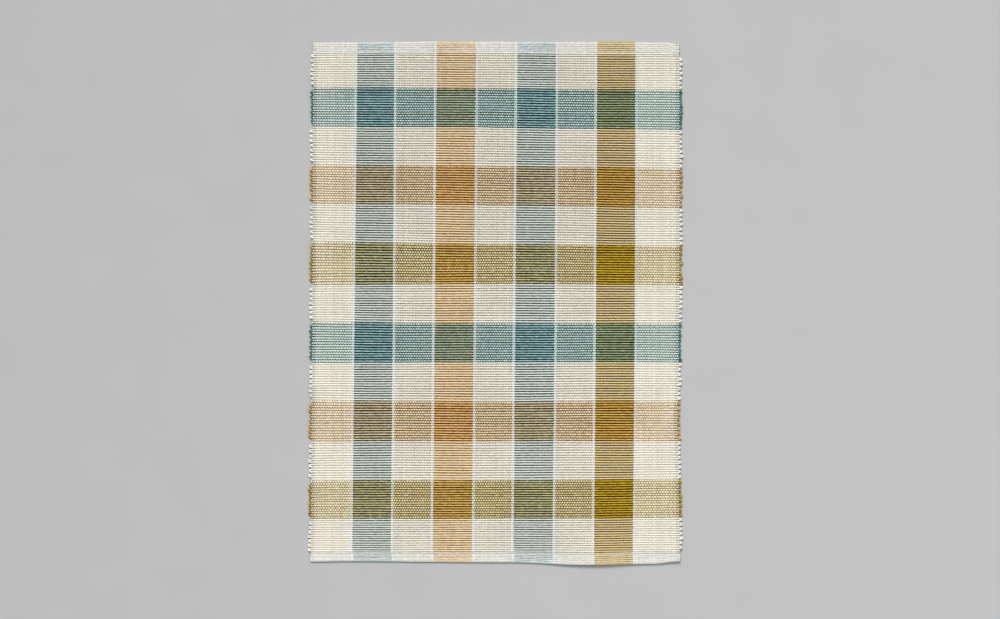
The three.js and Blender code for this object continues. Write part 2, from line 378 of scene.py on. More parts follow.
def lift(x, y):
    """How far the ripples lift the cloth off the table."""
    total = 0
    for ripple in RIPPLES:
        dx, dy = (x - ripple["x"]) / ripple["reach_x"], (y - ripple["y"]) / ripple["reach_y"]
        reach = np.minimum(1, np.hypot(dx, dy))
        total = total + ripple["height"] * (1 + np.cos(math.pi * reach)) / 2
    return total


NEAR_DEPTH = max(NEAR_HEM.values())
FAR_DEPTH = max(FAR_HEM.values())
LOOM_MIDDLE = (BODY_START - NEAR_DEPTH + RIB_ENDS["middle"][-1] + FAR_DEPTH) / 2


def in_frame(x, y, z):
    """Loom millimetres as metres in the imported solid's frame."""
    centre = (SOLID_LOW + SOLID_HIGH) / 2
    along = (y - LOOM_MIDDLE) * MM + centre.y
    return np.stack([x * MM + centre.x, along, (z + lift(x, y)) * MM], -1)


def add_object(name, data):
    """A new object in the scene."""
    made = bpy.data.objects.new(name, data)
    bpy.context.scene.collection.objects.link(made)
    return made


def fill(items, key, parts, kind=np.float32):
    """Gives every item of a mesh its own value, from a list of arrays."""
    items.foreach_set(key, np.concatenate([np.ravel(part) for part in parts]).astype(kind))


def mesh_piece(name, points, quads, shades, places, tints, triangles=(), materials=()):
    """A mesh object from lists of arrays: points, quads, a shade and a depth of painted shade for each
    point, the baking map's place for each corner, the painted tint of the light that falls on each
    point, triangles, and the number of each face's material."""
    mesh = bpy.data.meshes.new(name)
    faces = [*quads, *triangles]
    sizes = np.concatenate([np.full(len(part), part.shape[1]) for part in faces])
    mesh.vertices.add(sum(len(part) for part in points))
    fill(mesh.vertices, "co", points)
    mesh.loops.add(int(sizes.sum()))
    fill(mesh.loops, "vertex_index", faces, np.int32)
    mesh.polygons.add(len(sizes))
    fill(mesh.polygons, "loop_start", [[0], np.cumsum(sizes)[:-1]], np.int32)
    fill(mesh.polygons, "use_smooth", [np.ones(len(sizes))], bool)
    if materials:
        fill(mesh.polygons, "material_index", materials, np.int32)
    for column, title in enumerate(("yarn_shade", "painted_shade_depth")):
        values = [part[:, column] for part in shades]
        fill(mesh.attributes.new(title, "FLOAT", "POINT").data, "value", values)
    fill(mesh.attributes.new("weft_cast", "FLOAT_VECTOR", "POINT").data, "vector", tints)
    fill(mesh.uv_layers.new(name="OFBake").data, "uv", places)
    mesh.update(calc_edges=True)
    mesh.validate()
    return add_object(name, mesh)


def finish_piece(piece, yarn, *materials):
    """Gives a piece its yarns and lets it ride on the mat, whose plain solid it stands for."""
    for material in materials:
        piece.data.materials.append(material)
    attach(piece, "root")
    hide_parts("placemat")
    return piece


def node(tree, kind, links=None, **settings):
    """Adds one shader node: its settings by name, and links or values by input socket."""
    made = tree.nodes.new(kind)
    for key, value in settings.items():
        setattr(made, key, value)
    for key, value in (links or {}).items():
        if isinstance(value, bpy.types.NodeSocket):
            tree.links.new(value, made.inputs[key])
        else:
            made.inputs[key].default_value = value
    return made


def band_scale(period):
    """The Wave texture's scale for bands of a real period in millimetres, on coordinates in metres."""
    return 2 * math.pi / 20 / (period * MM)


def new_material(name):
    """A material without nodes, and its node tree."""
    material = bpy.data.materials.new(name)
    material.use_nodes = True
    material.node_tree.nodes.clear()
    return material, material.node_tree


def map_range(tree, value, low, high, least=0.0, most=1.0):
    """A value from least to most turned into one from low to high."""
    ends = {"Value": value, "From Min": least, "From Max": most, "To Min": low, "To Max": high}
    return node(tree, "ShaderNodeMapRange", ends).outputs["Result"]


def multiply(tree, first, second):
    """The product of two values."""
    return node(tree, "ShaderNodeMath", {0: first, 1: second}, operation="MULTIPLY").outputs["Value"]


# A yarn's patterns by their real sizes, but for the fuzz: its fibres are too fine to show, and are
# drawn as coarse as this
FUZZ = 0.5 * MM
PATCH = 35 * MM
SLUB_LENGTH = 4 * MM
SLUB_WIDTH = 1.6 * MM
TWIST_HEIGHT = 0.12 * MM
# Slub-sized patches make the painted shade uneven: this is how far they turn it deeper or paler
SHADE_UNEVENNESS = 0.6  # how far slubs turn the colour's depth up or down
NOISE = {"least": 0.3, "most": 0.7}  # between which a Noise texture's values mostly lie
DEPTH_STOPS = 5


def depth_ramp(tree, depth, crest, deep):
    """A yarn's colour from its crest to its painted shade in the depths, in equal steps of light lost
    to one more bounce.
    """
    made = node(tree, "ShaderNodeValToRGB", {"Fac": depth})
    stops = made.color_ramp.elements
    while len(stops) < DEPTH_STOPS:
        stops.new(0.5)
    for i, stop in enumerate(stops):
        share = i / (DEPTH_STOPS - 1)
        stop.position = share
        stop.color = [a ** (1 - share) * b**share for a, b in zip(crest, deep)]
    return made


def cotton_yarn(name, colour, depths, ply, lean, strength):
    """Ring-spun cotton, two plies twisted together and not mercerised: matt, with a fine slanting
    twist and mottled fuzz, crowns paler than the painted shade that deepens the colour in the
    valleys and on the flanks, painted shade in the grooves between the plies, a painted tint of
    light bounced from the neighbouring yarns, and slub-sized patches that make the painted shade
    uneven along it. The ply is the twist's pitch in millimetres, the lean its angle in radians."""
    material, tree = new_material(name)
    space = node(tree, "ShaderNodeTexCoord").outputs["Object"]
    turned = node(tree, "ShaderNodeMapping", {"Vector": space, "Rotation": (0, 0, lean)})
    twist = node(
        tree, "ShaderNodeTexWave",
        {"Vector": turned.outputs["Vector"], "Scale": band_scale(ply), "Distortion": 2.5, "Detail": 2.0},
        wave_type="BANDS", bands_direction="X", wave_profile="SIN",
    ).outputs["Fac"]
    fuzz = node(
        tree, "ShaderNodeTexNoise",
        {"Vector": space, "Scale": 1 / FUZZ, "Detail": 3.0, "Roughness": 0.6},
    ).outputs["Fac"]
    patches = node(
        tree, "ShaderNodeTexNoise", {"Vector": space, "Scale": 1 / PATCH, "Detail": 2.0}
    ).outputs["Fac"]
    # Painted shade: the twist darkens the colour in the grooves between the plies
    groove = map_range(tree, twist, low=0.91, high=1.03)
    mottle = map_range(tree, fuzz, low=0.9, high=1.08, **NOISE)
    cloud = map_range(tree, patches, low=0.96, high=1.04, **NOISE)
    shade = node(tree, "ShaderNodeAttribute", attribute_name="yarn_shade").outputs["Fac"]
    for factor in (groove, mottle, cloud):
        shade = multiply(tree, shade, factor)
    # Slub-sized patches along the yarn make its painted shade uneven
    drawn = node(
        tree, "ShaderNodeMapping",
        {"Vector": space, "Scale": (1 / SLUB_LENGTH, 1 / SLUB_WIDTH, 1 / SLUB_WIDTH)},
    )
    slub = node(
        tree, "ShaderNodeTexNoise",
        {"Vector": drawn.outputs["Vector"], "Scale": 1.0, "Detail": 2.0},
    ).outputs["Fac"]
    uneven = map_range(tree, slub, low=1 + SHADE_UNEVENNESS, high=1 - SHADE_UNEVENNESS, **NOISE)
    # Painted shade: the colour turns from the crest colour to its shaded depths in the valleys and on the
    # flanks
    depth = node(tree, "ShaderNodeAttribute", attribute_name="painted_shade_depth").outputs["Fac"]
    dye = depth_ramp(tree, multiply(tree, depth, uneven), colour, depths)
    # Painted tint of light bounced from the neighbouring yarns
    cast = node(tree, "ShaderNodeAttribute", attribute_name="weft_cast")
    lit = node(
        tree, "ShaderNodeVectorMath", {0: dye.outputs["Color"], 1: cast.outputs["Vector"]},
        operation="MULTIPLY",
    )
    tint = node(
        tree, "ShaderNodeVectorMath", {0: lit.outputs["Vector"], "Scale": shade}, operation="SCALE"
    )
    relief = node(tree, "ShaderNodeMath", {0: twist, 1: fuzz}, operation="ADD")
    bump = node(
        tree, "ShaderNodeBump",
        {"Height": relief.outputs["Value"], "Strength": strength, "Distance": TWIST_HEIGHT},
    )
    shader = node(
        tree, "ShaderNodeBsdfPrincipled",
        {
            "Base Color": tint.outputs["Vector"], "Roughness": 0.88, "IOR": 1.47,
            "Specular IOR Level": 0.1, "Sheen Weight": 0.02, "Sheen Roughness": 0.5,
            "Normal": bump.outputs["Normal"],
        },
    )
    node(tree, "ShaderNodeOutputMaterial", {"Surface": shader.outputs["BSDF"]})
    return material


def warp_rows(parity):
    """The run of places where a warp end is set, for the even or the odd ends: picks, rise, width
    spread and crown, and whether the pick there is a thick rib."""
    rows = []
    for pick in range(-HEM_PICKS, RIBS + HEM_PICKS):
        rib = 0 <= pick < RIBS
        over = (pick + parity) % 2 == 0
        steps = (OVER_RIB if over else UNDER_RIB) if rib else (OVER_FINE if over else UNDER_FINE)
        rows += [(pick + place, rise, spread, crown, rib) for place, rise, spread, crown in steps]
    rows.append((RIBS + HEM_PICKS, 0.0, 0.5, 0.0, False))
    return [np.array(column, float) for column in zip(*rows)]


# How deep each warp's colour turns to its painted shade in the valleys, between ribs of cream
# and of dyed weft
VALLEY_PAINTED_SHADE = {
    "cream": (0.26, 0.66), "white": (0.04, 0.12), "teal": (0.68, 1), "tan": (0.52, 1), "olive": (0.85, 1),
}
# The painted valley shade: uneven with each pick's beat, shallower in the hems and lighter on their crests
LEAST_DEPTH = 0.7  # the share of that in the shallowest valley, and how much more in the deepest
MORE_DEPTH = 0.6
HEM_DEPTH = 0.7  # the same in the hems, as a share of the first, and at most
HEM_DEEPEST = 0.36
HEM_CREST = 0.2  # the share of that on the hems' crests
# The painted shade grows as a warp sinks from its crest into the valley
SINK_SPAN = 0.7  # a warp's colour turns wholly down this far below its crest
SINK_POWER = 1.5


def band_value(values, picks):
    """The value of the band that each pick lies in, from one value for each band."""
    by_rib = np.repeat(values, [band["ribs"] for band in BANDS], axis=0)
    return by_rib[np.clip(picks.astype(int), 0, RIBS - 1)]


def painted_shade_depth(yarn, picks):
    """How deep a warp's painted shade is in the valleys at these picks, from 0 as on a crest to 1."""
    pale, dark = VALLEY_PAINTED_SHADE[yarn]
    between_ribs = np.where(band_value([band["yarn"] != "cream" for band in BANDS], picks), dark, pale)
    uneven = LEAST_DEPTH + MORE_DEPTH * BEAT[np.clip(np.round(picks).astype(int), 0, RIBS), 0]
    inside = (picks >= 0) & (picks <= RIBS)
    return np.where(inside, between_ribs * uneven, min(HEM_DEPTH * pale, HEM_DEEPEST))


# The painted cast of light that each weft's colour bounces onto the warp in the valleys beside it
WEFT_CAST = {
    "cream": (1, 0.95, 0.82), "teal": (0.06, 0.38, 0.38), "tan": (0.92, 0.68, 0.32),
    "olive": (0.88, 0.74, 0.28),
}
# How much of that cast a warp takes, on a crest and in a valley: dyed ends are lit through each other
CAST_SHARE = {"cream": (0, 1), "white": (0, 0), "teal": (0.3, 1), "tan": (0.3, 1), "olive": (0.3, 1)}


def weft_cast(yarn, picks, sunk):
    """The tint of the light on a warp of this yarn at these picks, by how far each place is sunk."""
    casts = band_value([WEFT_CAST[band["yarn"]] for band in BANDS], picks)
    inside = (picks >= 0) & (picks <= RIBS)
    least, most = CAST_SHARE[yarn]
    return 1 - (1 - casts) * ((least + (most - least) * sunk) * inside)[:, None]


MAP_COLUMNS = 4  # each warp end is laid in this many columns of the baking map
MAP_FILL = 0.88  # the share of its column that it fills there

# How warp ends differ, in millimetres or as a share
SWAY = 0.05
SWAY_LENGTH = 17
WIDTH_SPREAD = 0.05
SHADE_SPREAD = 0.035
HEM_CROWN = 0.12  # how far a float's crown stands above its edges in the hems


def weave_stripe(name, numbers, sizes, random):
    """The warp ends with these numbers as one mesh: a crowned ribbon for each, over and under
    every pick from one turned edge to the other."""
    points, quads, shades, tints, places = [], [], [], [], []
    sides = (-1, 1) if WARP[numbers[0]]["spacing"] < FINE_SPACING else (-1, 0, 1)
    start = 0
    for parity in (0, 1):
        chosen = np.array([n for n in numbers if n % 2 == parity])
        if not len(chosen):
            continue
        picks, rise, spread, crown, rib = warp_rows(parity)
        across = SHARES[chosen][:, None]
        y, height, face_y, face_z = weave_line(picks[None, :], across)
        x = cloth_x(np.broadcast_to(across, y.shape), y)
        y = y + waver(x, y, face_z)
        x = x + SWAY * np.sin(y / SWAY_LENGTH + random.uniform(0, FULL_TURN, (len(chosen), 1)))
        thick = np.where(rib > 0, sizes.rise / MM, LAYER_HALF)
        edge_drop = np.where(rib > 0, sizes.crown / MM, HEM_CROWN) * crown * (len(sides) > 2)
        spun = random.normal(1.0, WIDTH_SPREAD, (len(chosen), 1))
        spacing = np.array([WARP[n]["spacing"] for n in chosen])[:, None]
        floats = np.array([WARP[n]["float"] for n in chosen])[:, None]
        crest = np.where(rib > 0, floats, HEM_FLOAT * spacing)
        outwards = np.where(picks < 0, -picks, picks - RIBS)
        fold = np.abs(outwards - TOP_PICKS - FOLD_PICKS / 2) <= FOLD_PICKS / 2
        spread = np.where(fold, 1.0, spread)
        slack = np.maximum(crest, SPREAD_WIDTH * spacing)
        half = (crest + (slack - crest) * spread) / 2 * spun
        strips = []
        for side in sides:
            out = rise * thick - (edge_drop if side else 0)
            strips.append(in_frame(x + side * half, y + face_y * out, height + face_z * out))
        grid = np.stack(strips, 2)
        shape = grid.shape[:3]
        ends, rows = shape[:2]
        index = start + np.arange(math.prod(shape)).reshape(shape)
        corners = [index[:, :-1, :-1], index[:, :-1, 1:], index[:, 1:, 1:], index[:, 1:, :-1]]
        quads.append(np.stack(corners, -1).reshape(-1, 4))
        points.append(grid.reshape(-1, 3))
        own = np.broadcast_to(random.normal(1.0, SHADE_SPREAD, (ends, 1, 1)), shape)
        # Painted shade: an end's colour deepens as it sinks into a valley; in the hems a little lies even
        # on the crests, and none round the fold
        sunk = np.clip((1 - np.abs(rise)) / SINK_SPAN, 0, 1) ** SINK_POWER
        stripe = STRIPES[WARP[numbers[0]]["stripe"]]
        within = np.where(rib > 0, sunk, np.where(fold, 0.0, HEM_CREST + (1 - HEM_CREST) * sunk))
        depth = stripe.get("depth", 1.0) * painted_shade_depth(stripe["yarn"], picks) * within
        shades.append(np.stack([own, np.broadcast_to(depth[None, :, None], shape)], -1).reshape(-1, 2))
        # Painted tint of light bounced from the weft onto the end, most where it sinks
        cast = weft_cast(stripe["yarn"], picks, sunk)
        tints.append(np.broadcast_to(cast[None, :, None, :], (*shape, 3)).reshape(-1, 3))
        order = np.array([numbers.index(n) for n in chosen])
        places.append(ribbon_map(order, len(numbers), rows - 1, len(sides) - 1))
        start += math.prod(shape)
    return mesh_piece(name, points, quads, shades, places, tints)


def ribbon_map(order, count, spans, strips):
    """The baking map of ribbons side by side, each cut into a few columns."""
    per_column = math.ceil(spans / MAP_COLUMNS)
    span = np.arange(spans)
    column = span // per_column
    left = (order[:, None] * MAP_COLUMNS + column[None, :]) / (count * MAP_COLUMNS)
    low = (span - column * per_column) / per_column
    high = (span - column * per_column + 1) / per_column
    wide = MAP_FILL / (count * MAP_COLUMNS)
    uv = np.zeros((len(order), spans, strips, 4, 2))
    for strip in range(strips):
        for corner, (right, top) in enumerate(((0, 0), (1, 0), (1, 1), (0, 1))):
            uv[:, :, strip, corner, 0] = left + wide * (strip + right) / strips
            uv[:, :, strip, corner, 1] = (high if top else low)[None, :]
    return uv.reshape(-1, 2)


def tube(
    path, ups, half_width, half_height, sides, per_row, shade, flank_painted_shade, crest_painted_shade=0.0, cast=1.0
):
    """A closed flattened tube along a path: its points, quads, end caps, shades and map. The depth of
    its painted shade on the flanks and on the crest, and the painted cast of light on the flanks, are
    for each point or for all."""
    ahead = np.gradient(path, axis=0)
    ahead /= np.linalg.norm(ahead, axis=1, keepdims=True)
    beside = np.cross(ahead, ups)
    beside /= np.linalg.norm(beside, axis=1, keepdims=True)
    above = np.cross(beside, ahead)
    angle = np.arange(sides) * 2 * math.pi / sides
    ring = (
        path[:, None, :]
        + beside[:, None, :] * (np.cos(angle)[None, :, None] * half_width[:, None, None])
        + above[:, None, :] * (np.sin(angle)[None, :, None] * half_height[:, None, None])
    )
    count = len(path)
    index = np.arange(count * sides).reshape(count, sides)
    after = np.roll(index, -1, axis=1)
    quads = np.stack([index[:-1], index[1:], after[1:], after[:-1]], -1).reshape(-1, 4)
    fan = np.arange(1, sides - 1)
    near_cap = np.stack([np.zeros_like(fan), fan, fan + 1], -1)
    far_cap = (count - 1) * sides + np.stack([np.zeros_like(fan), fan + 1, fan], -1)
    rows = math.ceil((count - 1) / per_row)
    span = np.arange(count - 1)
    row = span // per_row
    low = (span - row * per_row) / per_row
    high = low + 1 / per_row
    uv = np.zeros((count - 1, sides, 4, 2))
    for corner, (up, right) in enumerate(((0, 0), (0, 1), (1, 1), (1, 0))):
        uv[:, :, corner, 0] = (high if right else low)[:, None]
        uv[:, :, corner, 1] = row[:, None] + MAP_FILL * (np.arange(sides)[None, :] + up) / sides
    caps = np.concatenate([near_cap, far_cap])
    # Painted shade grows towards the yarn's flanks, which face into the valleys
    flank = np.abs(np.cos(angle))[None, :] ** FLANK_SHARPNESS
    crest, deepest = (np.broadcast_to(part, count)[:, None] for part in (crest_painted_shade, flank_painted_shade))
    depth = crest + (deepest - crest) * flank
    cast = np.broadcast_to(cast, (count, 3))[:, None, :]
    return {
        "tints": (1 - (1 - cast) * flank[:, :, None]).reshape(-1, 3),
        "points": ring.reshape(-1, 3), "quads": quads, "caps": caps,
        "shades": np.stack([np.repeat(shade, sides), depth.ravel()], -1),
        "map": uv.reshape(-1, 4, 2), "rows": rows,
    }


def join_tubes(name, tubes, yarns=None):
    """One mesh from many tubes, with their rows stacked in one baking map. yarns are the tubes'
    material numbers."""
    total = sum(part["rows"] for part in tubes)
    quads, caps, places, cap_places = [], [], [], []
    start = row = 0
    for part in tubes:
        quads.append(part["quads"] + start)
        caps.append(part["caps"] + start)
        uv = part["map"].copy()
        uv[..., 1] = (uv[..., 1] + row) / total
        places.append(uv.reshape(-1, 2))
        cap_places.append(np.broadcast_to((0.5, (row + 0.5) / total), (part["caps"].size, 2)))
        start += len(part["points"])
        row += part["rows"]
    yarns = yarns or [0] * len(tubes)
    materials = [np.repeat(yarns, [len(part[kind]) for part in tubes]) for kind in ("quads", "caps")]
    points, shades, tints = ([part[kind] for part in tubes] for kind in ("points", "shades", "tints"))
    return mesh_piece(name, points, quads, shades, places + cap_places, tints, caps, materials)


# How deep the weft's colour turns to its painted shade on the flanks of its yarn, and all round
# a loop
FLANK_PAINTED_SHADE = {"cream": 0.16, "teal": 1.0, "tan": 1.0, "olive": 1.0}
LOOP_PAINTED_SHADE = {"cream": 0.0, "teal": 0.4, "tan": 0.3, "olive": 0.3}
FLANK_SHARPNESS = 2.3
FINE_PLACES = np.linspace(0, 1, 46)  # where a fine pick has points, by the share of the width
TURN_STEPS = 6  # points round one loop
STRIPE_STEPS = 4  # points of a thick pick under one stripe

# The painted cast of light that each warp's colour bounces onto the flanks of the weft under it
WARP_CAST = {
    "cream": (1, 1, 1), "teal": (0.75, 0.88, 0.92), "tan": (0.95, 0.7, 0.38), "olive": (0.85, 0.66, 0.28),
}


def rib_places():
    """Where a pick of a rib has points, a few to each wide stripe, and the stripe's cast there."""
    places, casts = [], []
    for number, stripe in enumerate(STRIPES):
        own = SHARES[[end["stripe"] == number for end in WARP]]
        if stripe not in (LINE, SELVEDGE):
            places.append(np.linspace(own[0], own[-1], STRIPE_STEPS))
            casts += [WARP_CAST[stripe["yarn"]]] * STRIPE_STEPS
    places = np.concatenate(places)
    places[0], places[-1] = 0, 1
    return places, np.array(casts, float)


RUN_PLACES, RUN_CASTS = rib_places()


def stripe_cast(across):
    """The cast of the stripes at these places across the mat."""
    return np.stack([np.interp(across, RUN_PLACES, part) for part in RUN_CASTS.T], -1)


LOOP_SPREAD = 0.42  # how far a loop spreads along the mat, in picks
LOOP_FULLNESS = 0.85  # the less, the fuller
PICK_SHADES = 0.06  # how far the picks' shades spread


def pick_path(pick_numbers, reach, droop, places, random):
    """The serpentine of a weft yarn through these picks, with a point at each of these places
    across the mat: points, face directions and, for each point, how far round a loop it is, its
    shade and its place."""
    paths, faces, turns, own, shares = [], [], [], [], []
    last = pick_numbers[-1]
    run_steps = len(places)
    for pick in pick_numbers:
        rightward = pick % 2 != 0
        across = places if rightward else places[::-1]
        middle = np.full(run_steps, pick + 0.5)
        y, height, face_y, face_z = weave_line(middle, across)
        x = cloth_x(across, y)
        y = y + waver(x, y, face_z)
        paths.append(np.stack([x, y, height], -1))
        faces.append(np.stack([np.zeros(run_steps), face_y, face_z], -1))
        turns.append(np.zeros(run_steps))
        own.append(np.full(run_steps, random.normal(1.0, PICK_SHADES)))
        shares.append(across)
        if pick == last:
            break
        side = 1.0 if rightward else 0.0
        angle = np.linspace(-math.pi / 2, math.pi / 2, TURN_STEPS + 2)[1:-1]
        place = pick + 1 + LOOP_SPREAD * np.sin(angle)
        y, height, face_y, face_z = weave_line(place, np.full(TURN_STEPS, side))
        out = reach(random) * np.cos(angle) ** LOOP_FULLNESS
        x = cloth_x(np.full(TURN_STEPS, side), y) + (out if rightward else -out)
        y = y + waver(x, y, face_z)
        paths.append(np.stack([x, y, height + droop(random) * np.cos(angle)], -1))
        faces.append(np.stack([np.zeros(TURN_STEPS), face_y, face_z], -1))
        turns.append(np.cos(angle))
        own.append(np.full(TURN_STEPS, own[-1][0]))
        shares.append(np.full(TURN_STEPS, side))
    return [np.concatenate(parts) for parts in (paths, faces, turns, own, shares)]


# A thick loop: how far back its yarn's middle lies in half widths, how far it hangs or lifts, how
# much wider and thinner it is at the turn, and how fast its painted shade turns to that of the loop
LOOP_INSET = 0.8
LOOP_HANG = (-0.25, 0.15)
LOOP_WIDER = 0.35
LOOP_THINNER = 0.1
LOOP_BLEND = 3
WEFT_SIDES = 8  # sides of the tube that is a thick yarn


class PLACEMAT_OT_weave_weft(bpy.types.Operator):
    """Beat in the thick weft: one yarn for each band of colour, looped at both selvedges"""

    bl_idname = "placemat.weave_weft"
    bl_label = "Weave Weft"

    def execute(self, context):
        sizes = context.scene.placemat_sizes
        colours = context.scene.placemat_colours
        random = np.random.default_rng(SEED)
        tubes = []
        first = 0

        def reach(r):
            whole = sizes.loop_reach + sizes.loop_unevenness * r.uniform(-1, 1)
            return (whole - LOOP_INSET * sizes.weft_half_width) / MM

        for band in BANDS:
            path, faces, turns, shade, across = pick_path(
                range(first, first + band["ribs"]), reach, lambda r: r.uniform(*LOOP_HANG),
                RUN_PLACES, random,
            )
            placed = in_frame(path[:, 0], path[:, 1], path[:, 2])
            wide = sizes.weft_half_width * (1 + LOOP_WIDER * turns)
            tall = sizes.weft_half_height * (1 - LOOP_THINNER * turns)
            # Painted shade on the yarn's flanks along the ribs, and evenly all round each loop
            flank, loop = FLANK_PAINTED_SHADE[band["yarn"]], LOOP_PAINTED_SHADE[band["yarn"]]
            turned = np.minimum(1, LOOP_BLEND * turns)
            tubes.append(
                tube(
                    placed, faces, wide, tall, WEFT_SIDES, len(RUN_PLACES) + TURN_STEPS, shade,
                    flank + (loop - flank) * turned, loop * turned, stripe_cast(across),
                )
            )
            first += band["ribs"]
        dyes = list(FLANK_PAINTED_SHADE)
        piece = join_tubes("weft", tubes, [dyes.index(band["yarn"]) for band in BANDS])
        materials = [
            cotton_yarn(
                f"Ring-Spun Cotton Weft {dye.title()}", getattr(colours, f"{dye}_weft"),
                getattr(colours, f"{dye}_weft_painted_shade"), ply=1.6, lean=1.05, strength=0.6,
            )
            for dye in dyes
        ]
        finish_piece(piece, "cream", *materials)
        return {"FINISHED"}


class PLACEMAT_OT_weave_warp(bpy.types.Operator):
    """Thread the warp: every stripe's ends over and under each pick, and the bleached ends"""

    bl_idname = "placemat.weave_warp"
    bl_label = "Weave Warp"

    def execute(self, context):
        sizes = context.scene.placemat_sizes
        colours = context.scene.placemat_colours
        random = np.random.default_rng(SEED + 1)
        materials = {
            yarn: cotton_yarn(
                f"Ring-Spun Cotton Warp {yarn.title()}", getattr(colours, f"{yarn}_warp"),
                getattr(colours, f"{yarn}_warp_painted_shade"), ply=0.9, lean=0.6, strength=0.5,
            )
            for yarn in ("cream", "white", "teal", "tan", "olive")
        }
        white = [n for n, end in enumerate(WARP) if end["yarn"] == "white"]
        groups = {"warp_white": white}
        coloured = [i for i, stripe in enumerate(STRIPES) if stripe["yarn"] != "white"]
        for place, number in enumerate(coloured, 1):
            name = f"warp_{place}_{STRIPES[number]['yarn']}"
            groups[name] = [n for n, end in enumerate(WARP) if end["stripe"] == number]
        for name, numbers in groups.items():
            yarn = WARP[numbers[0]]["yarn"]
            finish_piece(weave_stripe(name, numbers, sizes, random), yarn, materials[yarn])
        return {"FINISHED"}


# A fine pick: its loops' least reach and how much more, half its width as a share of the picks'
# spacing, half its thickness, and how deep its colour turns to painted shade on its flanks
FINE_REACH = 0.15
MORE_REACH = 0.1
FINE_WIDTH = 0.43
FINE_HALF = 0.38
FINE_SIDES = 6  # sides of the tube that is a fine pick or a stitch
FINE_FLANK = 0.5


class PLACEMAT_OT_weave_hems(bpy.types.Operator):
    """Weave the fine picks of both headings, which are turned under in the hems"""

    bl_idname = "placemat.weave_hems"
    bl_label = "Weave Hems"

    def execute(self, context):
        colours = context.scene.placemat_colours
        random = np.random.default_rng(SEED + 2)
        tubes = []
        for picks in (range(-HEM_PICKS, 0), range(RIBS, RIBS + HEM_PICKS)):
            path, faces, _, shade, shares = pick_path(
                picks, lambda r: FINE_REACH + MORE_REACH * r.uniform(0, 1), lambda r: 0.0,
                FINE_PLACES, random,
            )
            placed = in_frame(path[:, 0], path[:, 1], path[:, 2])
            table = NEAR_HEM if picks[0] < 0 else FAR_HEM
            across = np.clip(0.5 + path[:, 0] / (2 * RIGHT_EDGE[-HALF_LENGTH]), 0, 1)
            wide = read_table(table, across) / TOP_PICKS * FINE_WIDTH * MM
            tall = np.full(len(placed), FINE_HALF * MM)
            per_row = len(FINE_PLACES) + TURN_STEPS
            cast = stripe_cast(shares)
            tubes.append(
                tube(placed, faces, wide, tall, FINE_SIDES, per_row, shade, FINE_FLANK, cast=cast)
            )
        piece = join_tubes("hem_weft", tubes)
        material = cotton_yarn(
            "Fine Cotton Heading Weft", colours.heading, colours.heading_painted_shade,
            ply=0.8, lean=1.05, strength=0.4,
        )
        finish_piece(piece, "cream", material)
        return {"FINISHED"}


# A stitch: points along it, the share of its length left free at each end, how deep it dips there
# and how high it bows over, how thin its thread is drawn there, how its row strays, and how deep
# its colour turns to painted shade on its flanks
STITCH_STEPS = 7
STITCH_GAP = 0.28
STITCH_DIP = 0.3
STITCH_BOW = 0.4
STITCH_THIN = 0.55
STITCH_STRAY = 0.05
STITCH_FLANK = 0.2


class PLACEMAT_OT_stitch_hems(bpy.types.Operator):
    """Sew both hems down with a row of machine lockstitch beside the first rib"""

    bl_idname = "placemat.stitch_hems"
    bl_label = "Stitch Hems"

    def execute(self, context):
        sizes = context.scene.placemat_sizes
        colours = context.scene.placemat_colours
        random = np.random.default_rng(SEED + 3)
        steps = STITCH_STEPS
        bow = np.sin(np.linspace(0, math.pi, steps))
        half = sizes.thread / 2 * (STITCH_THIN + (1 - STITCH_THIN) * bow)
        count = int((WARP[-1]["middle"] - WARP[0]["middle"]) * MM / sizes.stitch)
        tubes = []
        for line in (-STITCH_PICK, RIBS + STITCH_PICK):
            for stitch in range(count):
                share = (stitch + np.linspace(STITCH_GAP, 1 - STITCH_GAP, steps)) / count
                y, height, face_y, face_z = weave_line(np.full(steps, line), share)
                x = cloth_x(share, y)
                y = y + waver(x, y, face_z) + random.normal(0, STITCH_STRAY)
                placed = in_frame(x, y, height + LAYER_HALF - STITCH_DIP + STITCH_BOW * bow**0.5)
                faces = np.stack([0 * x, face_y, face_z], -1)
                shade = np.ones(steps)
                tubes.append(tube(placed, faces, half, half, FINE_SIDES, steps - 1, shade, STITCH_FLANK))
        piece = join_tubes("hem_stitches", tubes)
        material = cotton_yarn(
            "Spun Sewing Thread", colours.heading, colours.heading_painted_shade, ply=0.5, lean=0.8, strength=0.3
        )
        finish_piece(piece, "cream", material)
        return {"FINISHED"}


def pale_floor():
    """Matt painted board: pale grey, even and faintly mottled, a little darker than the cloth."""
    material, tree = new_material("Matt Painted Board Pale Grey")
    space = node(tree, "ShaderNodeTexCoord")
    grain = node(
        tree, "ShaderNodeTexNoise",
        {"Vector": space.outputs["Object"], "Scale": 1 / (60 * MM), "Detail": 3.0},
    )
    tone = map_range(tree, grain.outputs["Fac"], low=0.43, high=0.46)
    shader = node(
        tree, "ShaderNodeBsdfPrincipled",
        {"Base Color": tone, "Roughness": 0.9, "Specular IOR Level": 0.2},
    )
    node(tree, "ShaderNodeOutputMaterial", {"Surface": shader.outputs["BSDF"]})
    return material


def soft_light(name, place, aim, size, power, colour):
    """A square soft box at a place, turned to face a point."""
    data = bpy.data.lights.new(name, "AREA")
    data.shape, data.size, data.energy, data.color = "SQUARE", size, power, colour
    lamp = add_object(name, data)
    lamp.location = place
    away = np.array(place) - np.array(aim)
    lamp.rotation_euler = (
        math.atan2(math.hypot(away[0], away[1]), away[2]), 0, math.atan2(away[1], away[0]) + math.pi / 2
    )


